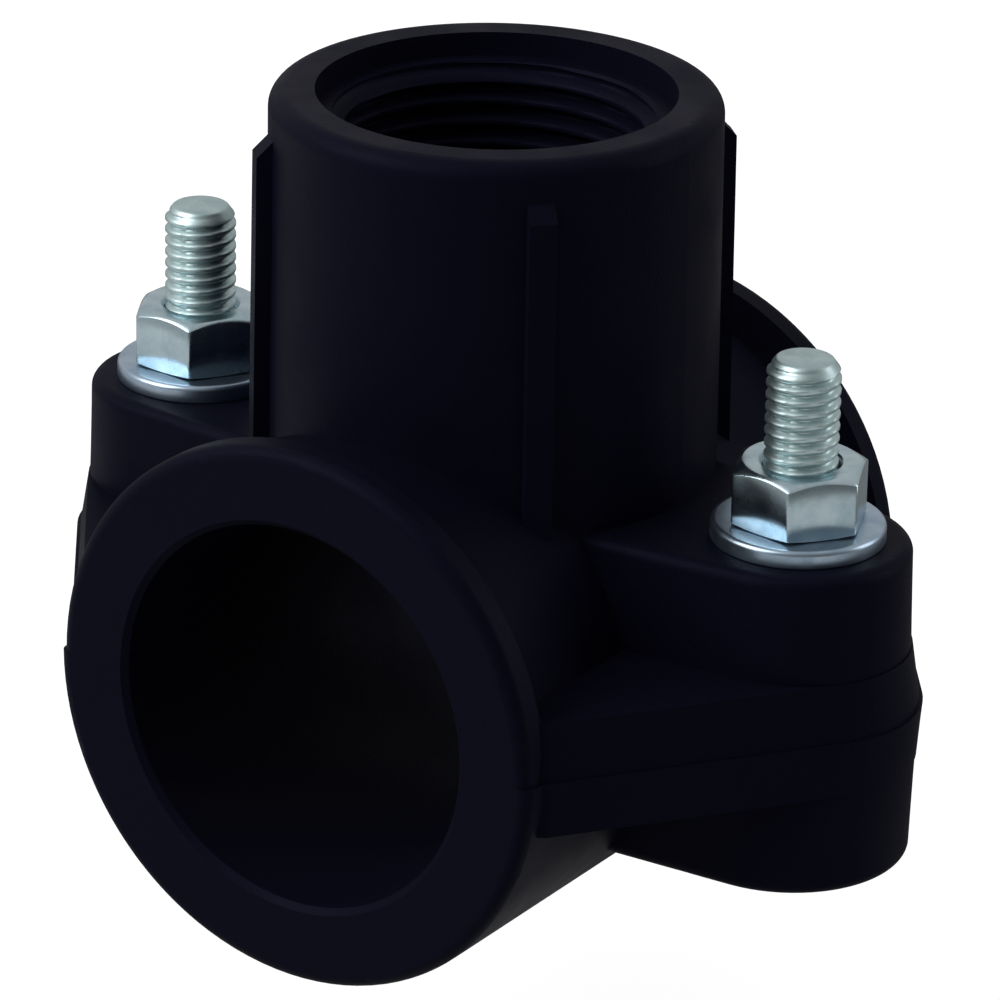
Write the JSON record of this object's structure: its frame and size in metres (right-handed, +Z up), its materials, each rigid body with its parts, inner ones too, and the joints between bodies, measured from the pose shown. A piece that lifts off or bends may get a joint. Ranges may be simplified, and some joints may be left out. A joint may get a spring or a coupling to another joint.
{
  "type": "tapping saddle",
  "caption": "Bolted clamp saddle for a plastic pipe, with a threaded female branch for a tapping and a rubber ring seal round its passage.",
  "frame": {"origin": "where the pipe's axis meets the branch's axis, in the plane where the two halves meet", "axes": "+Y along the pipe, +Z up the branch and out of its mouth, +X towards the right-hand bolt"},
  "size_m": [0.0798, 0.0562, 0.0677],
  "materials": {
    "moulded_plastic": "injection-moulded black polypropylene, fine satin grain",
    "seal_rubber": "smooth moulded rubber",
    "bolt_steel": "rolled thread, bright zinc plating",
    "zinc_steel": "bright zinc plating"
  },
  "bodies": {
    "upper": {"saddle_top": "moulded_plastic", "branch_seal": "seal_rubber", "washer_left": "zinc_steel", "washer_right": "zinc_steel"},
    "lower": {"saddle_bottom": "moulded_plastic", "bolt_left": "bolt_steel", "bolt_right": "bolt_steel"},
    "nut_left": {"nut_left": "zinc_steel"},
    "nut_right": {"nut_right": "zinc_steel"}
  },
  "joints": [
    {"name": "clamp_open", "type": "slide", "parent": "upper", "child": "lower", "axis": [0, 0, -1], "range_m": [0, 0.013]},
    {"name": "nut_left_turn", "type": "hinge", "parent": "upper", "child": "nut_left", "pos_m": [-0.0294, 0, 0], "axis": [0, 0, 1], "range_deg": [0, 4680]},
    {"name": "nut_right_turn", "type": "hinge", "parent": "upper", "child": "nut_right", "pos_m": [0.0294, 0, 0], "axis": [0, 0, 1], "range_deg": [0, 4680]}
  ],
  "couplings": [
    {"joint": "nut_left_turn", "follows": "clamp_open", "rad_per_m": 6283.2},
    {"joint": "nut_right_turn", "follows": "clamp_open", "rad_per_m": 6283.2}
  ]
}
